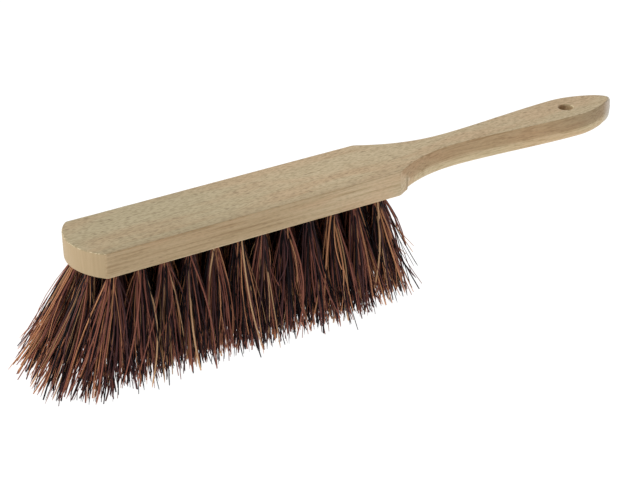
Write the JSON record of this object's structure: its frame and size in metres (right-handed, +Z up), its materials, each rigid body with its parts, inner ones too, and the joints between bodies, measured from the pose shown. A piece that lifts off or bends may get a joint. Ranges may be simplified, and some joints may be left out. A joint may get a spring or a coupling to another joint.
{
  "type": "hand brush",
  "caption": "Long hand brush for facade joints: a solid raw beech block and handle with a hanging hole, and rows of stapled coarse plant-fibre tufts fanning at the nose.",
  "frame": {"origin": "on the floor, under the middle of the brush's overall length, in the body's plane of symmetry", "axes": "+X from the nose towards the tip of the handle, +Y to the left when looking along +X, +Z up from the fibre tips to the flat top of the body"},
  "size_m": [0.4418, 0.1007, 0.089],
  "materials": {
    "beech": "planed and sanded, raw",
    "fibre": "coarse plant fibre, raw",
    "steel_wire": "drawn wire"
  },
  "bodies": {
    "root": {"beech_body": "beech", "tuft_row_1": "fibre", "tuft_row_2": "fibre", "tuft_row_3": "fibre", "tuft_row_4": "fibre", "staple_1_1": "steel_wire", "staple_1_2": "steel_wire", "staple_1_3": "steel_wire", "staple_1_4": "steel_wire", "staple_1_5": "steel_wire", "staple_1_6": "steel_wire", "staple_1_7": "steel_wire", "staple_1_8": "steel_wire", "staple_1_9": "steel_wire", "staple_1_10": "steel_wire", "staple_1_11": "steel_wire", "staple_1_12": "steel_wire", "staple_2_1": "steel_wire", "staple_2_2": "steel_wire", "staple_2_3": "steel_wire", "staple_2_4": "steel_wire", "staple_2_5": "steel_wire", "staple_2_6": "steel_wire", "staple_2_7": "steel_wire", "staple_2_8": "steel_wire", "staple_2_9": "steel_wire", "staple_2_10": "steel_wire", "staple_2_11": "steel_wire", "staple_2_12": "steel_wire", "staple_2_13": "steel_wire", "staple_3_1": "steel_wire", "staple_3_2": "steel_wire", "staple_3_3": "steel_wire", "staple_3_4": "steel_wire", "staple_3_5": "steel_wire", "staple_3_6": "steel_wire", "staple_3_7": "steel_wire", "staple_3_8": "steel_wire", "staple_3_9": "steel_wire", "staple_3_10": "steel_wire", "staple_3_11": "steel_wire", "staple_3_12": "steel_wire", "staple_3_13": "steel_wire", "staple_4_1": "steel_wire", "staple_4_2": "steel_wire", "staple_4_3": "steel_wire", "staple_4_4": "steel_wire", "staple_4_5": "steel_wire", "staple_4_6": "steel_wire", "staple_4_7": "steel_wire", "staple_4_8": "steel_wire", "staple_4_9": "steel_wire", "staple_4_10": "steel_wire", "staple_4_11": "steel_wire", "staple_4_12": "steel_wire"}
  },
  "joints": []
}
